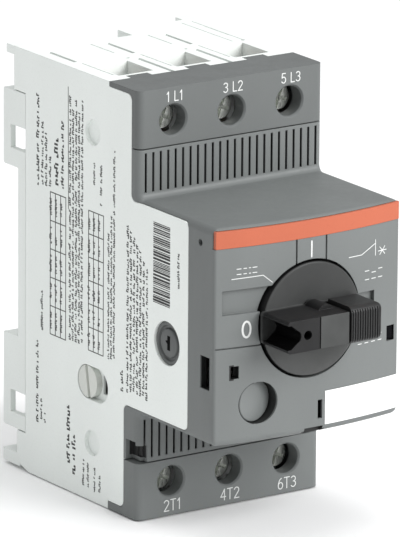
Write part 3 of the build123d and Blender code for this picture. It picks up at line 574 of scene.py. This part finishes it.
def table(y0, y1, z0, z1, columns, rows):
    """Outline and rules of a table, with a group of ticks in each cell."""
    outlines = []
    for i in range(columns + 1):
        y = y0 + (y1 - y0) * i / columns
        outlines.append(rule((y, z0), (y, z1)))
    for i in range(rows + 1):
        z = z0 + (z1 - z0) * i / rows
        outlines.append(rule((y0, z), (y1, z)))
    for i in range(columns):
        for j in range(rows):
            y = y0 + (y1 - y0) * (i + 0.3) / columns
            z = z0 + (z1 - z0) * (j + 0.2) / rows
            outlines += tick_row(y, z, z + (z1 - z0) * 0.6 / rows, 0.75)
    return outlines


side_marks = [rule((-19.4, h(60.0)), (-19.2, h(85.6)), 0.16)]
# single rows, each as y, lower and upper height above the bottom, and size of the ticks
for y, low, high, size in (
        (-8.4, 62.5, 82.2, 0.95), (-10.0, 63.0, 76.4, 0.8), (-11.4, 63.0, 74.6, 0.8),
        (-12.9, 63.2, 69.8, 0.8),
        (-15.6, 64.0, 75.2, 1.35), (-17.6, 63.8, 77.8, 1.0),
        (-9.9, 32.0, 41.0, 0.8), (-8.2, 11.8, 30.2, 0.9), (-9.6, 12.3, 18.8, 0.75), (-10.9, 12.3, 14.8, 0.75),
        (-29.3, 67.2, 73.0, 0.7), (-31.8, 63.4, 72.6, 0.7),
        (-20.1, 6.0, 18.2, 1.25), (-22.2, 4.0, 13.6, 1.25),
        (-25.5, 2.6, 8.3, 0.65), (-27.2, 2.2, 8.0, 0.65), (-29.6, 2.2, 7.8, 0.65), (-31.6, 2.6, 6.6, 0.65),
        (-60.0, 52.6, 60.2, 0.75)):
    side_marks += tick_row(y, h(low), h(high), size)
# blocks of close rows
for i in range(5):
    side_marks += tick_row(-20.3 - i * 1.12, h(32.4), h(84.0 - 2.5 * (i % 2)), 0.72)
for y, low, high in ((-34.6, 31.8, 59.0), (-35.6, 32.0, 62.0), (-36.6, 32.4, 76.0)):
    side_marks += tick_row(y, h(low), h(high), 0.66)
for i in range(7):
    side_marks += tick_row(-41.7 - i * 1.16, h(26.4 + 0.4 * (i % 3)), h(61.6 - 1.1 * i), 0.76)
side_marks += tick_row(-39.8, h(26.2), h(31.4), 0.9)
side_marks += table(-12.6, -18.4, h(31.9), h(62.1), 3, 5)
side_marks += table(-26.9, -32.4, h(31.9), h(61.4), 3, 6)
# stripes of random thickness
z = h(47.8)
while z < h(64.4):
    thick = rng.choice((0.14, 0.14, 0.28, 0.42))
    side_marks.append(rectangle((-56.6, z), (-50.6, z + thick)))
    z += thick + rng.choice((0.16, 0.16, 0.3))
film("side_print", side_marks, on_left_side, black_ink)


# ---- setting port seen through the side walls ----------------------------------------------------------
def lathe(name, profile, centre, side, material, segments=48):
    """Turned piece about an axis along X; profile is (radius, depth outwards) in millimetres."""
    mesh = bmesh.new()
    rings = []
    for radius, depth in profile:
        if radius == 0:
            rings.append([mesh.verts.new((0, 0, 0))] * segments)
            rings[-1][0].co = Vector((side * depth * MM, 0, 0))
            continue
        rings.append([mesh.verts.new((side * depth * MM, radius * MM * math.cos(2 * math.pi * i / segments),
                                      radius * MM * math.sin(2 * math.pi * i / segments)))
                      for i in range(segments)])
    for inner, outer in zip(rings, rings[1:]):
        for i in range(segments):
            j = (i + 1) % segments
            corners = list(dict.fromkeys((inner[i], inner[j], outer[j], outer[i])))
            if len(corners) > 2:
                mesh.faces.new(corners)
    piece = make_piece(name, mesh, material, Vector(centre) * MM)
    for polygon in piece.data.polygons:
        polygon.use_smooth = True
    bevel = piece.modifiers.new("edges", "BEVEL")
    bevel.width = 0.00008
    bevel.segments = 2
    bevel.limit_method = "ANGLE"


def port_slot_shade(name, centre, side):
    """Near-black key-shaped sheet in the middle of a setting port, 0.06 proud of the disc and 0.05 into it:
    painted shade standing in for the port's shaded key slot.
    """
    outline = [(-0.55, -1.5), (0.35, -1.5), (0.35, -0.2), (1.1, 0.3), (0.35, 0.55), (0.35, 1.5), (-0.55, 1.5)]
    mesh = bmesh.new()
    cx, cy, cz = centre
    front, back = ([((cx + side * depth) * MM, (cy + u) * MM, (cz + v) * MM) for u, v in outline]
                   for depth in (0.06, -0.05))
    add_prism(mesh, front, back)
    make_piece(name, mesh, slot_shade_plastic)


PORT_DEPTH = 1.27           # from the disc's back to its middle
PORT_PROFILE = [(4.5, 0.0), (4.5, 1.15), (4.15, 1.3), (3.75, 1.2), (3.6, 0.75), (3.1, 0.7), (2.95, 1.15),
                (2.7, 1.25), (0, PORT_DEPTH)]
PORT_SEAT = HALF - 1.66     # x of the disc's back

for side, word in ((-1, "left"), (1, "right")):
    lathe("port_disc_" + word, PORT_PROFILE, (side * PORT_SEAT, PORT[0], h(PORT[1])), side, port_plastic)
    port_slot_shade("port_key_" + word, (side * (PORT_SEAT + PORT_DEPTH), PORT[0], h(PORT[1])), side)


# ---- floor, lights, camera -----------------------------------------------------------------------------
def floor():
    """Pale, faintly mottled floor that runs far past the frame."""
    mesh = bmesh.new()
    cells = 40
    reach = 6.0
    grid = [[mesh.verts.new((-reach + 2 * reach * i / cells, -reach + 2 * reach * j / cells, 0))
             for j in range(cells + 1)] for i in range(cells + 1)]
    for i in range(cells):
        for j in range(cells):
            mesh.faces.new((grid[i][j], grid[i + 1][j], grid[i + 1][j + 1], grid[i][j + 1]))
    data = bpy.data.meshes.new("floor")
    mesh.to_mesh(data)
    mesh.free()
    piece = bpy.data.objects.new("floor", data)
    piece.location.z = BOTTOM * MM - 0.0003
    bpy.context.scene.collection.objects.link(piece)
    m = Nodes("floor_paper")
    m.link(m.ramp(m.noise(0.4, 2.0), [(0.3, (0.93, 0.93, 0.93)), (0.7, (0.95, 0.95, 0.95))]),
           m.shader.inputs["Base Color"])
    m.shader.inputs["Roughness"].default_value = 0.9
    m.shader.inputs["Specular IOR Level"].default_value = 0.1
    data.materials.append(m.material)


floor()

world = bpy.data.worlds.new("studio")
bpy.context.scene.world = world
world.use_nodes = True
background = world.node_tree.nodes["Background"]
background.inputs["Color"].default_value = (0.985, 0.99, 1.0, 1)
background.inputs["Strength"].default_value = 0.60


def panel(name, place, size, power, aim=(0, -0.03, 0), tone=(1, 1, 1)):
    """Square soft box at `place` that faces `aim`, in metres."""
    light = bpy.data.lights.new(name, "AREA")
    light.shape = "SQUARE"
    light.size = size
    light.energy = power
    light.color = tone
    lamp = bpy.data.objects.new(name, light)
    lamp.location = place
    lamp.rotation_mode = "QUATERNION"
    lamp.rotation_quaternion = (Vector(aim) - Vector(place)).to_track_quat("-Z", "Y")
    bpy.context.scene.collection.objects.link(lamp)


panel("key", (0.55, -1.25, 0.75), 0.9, 25.0)
panel("overhead", (-0.1, -0.1, 1.3), 0.9, 6.0)

camera_data = bpy.data.cameras.new("camera")
camera = bpy.data.objects.new("camera", camera_data)
bpy.context.scene.collection.objects.link(camera)
bpy.context.scene.camera = camera
azimuth, elevation, roll = (math.radians(angle) for angle in (-34.15, 15.54, 0.39))
distance = 1.588                        # metres from the aim
aim = Vector((0, -0.037, -0.0017))
across, along = 0.0016, -0.0030         # how far the aim sits right of and above the picture's middle
back = Vector((math.sin(azimuth) * math.cos(elevation), -math.cos(azimuth) * math.cos(elevation),
               math.sin(elevation)))
right = Vector((math.cos(azimuth), math.sin(azimuth), 0))
up = back.cross(right)
turned_right = right * math.cos(roll) + up * math.sin(roll)
turned_up = up * math.cos(roll) - right * math.sin(roll)
camera.location = aim + back * distance - turned_right * across - turned_up * along
camera.rotation_mode = "QUATERNION"
camera.rotation_quaternion = Matrix((turned_right, turned_up, back)).transposed().to_quaternion()
camera_data.sensor_width = 36.0
camera_data.lens = 521.5
camera_data.clip_start = 0.05
camera_data.clip_end = 30.0

bpy.context.scene.view_settings.view_transform = "Standard"
bpy.context.scene.view_settings.look = "None"
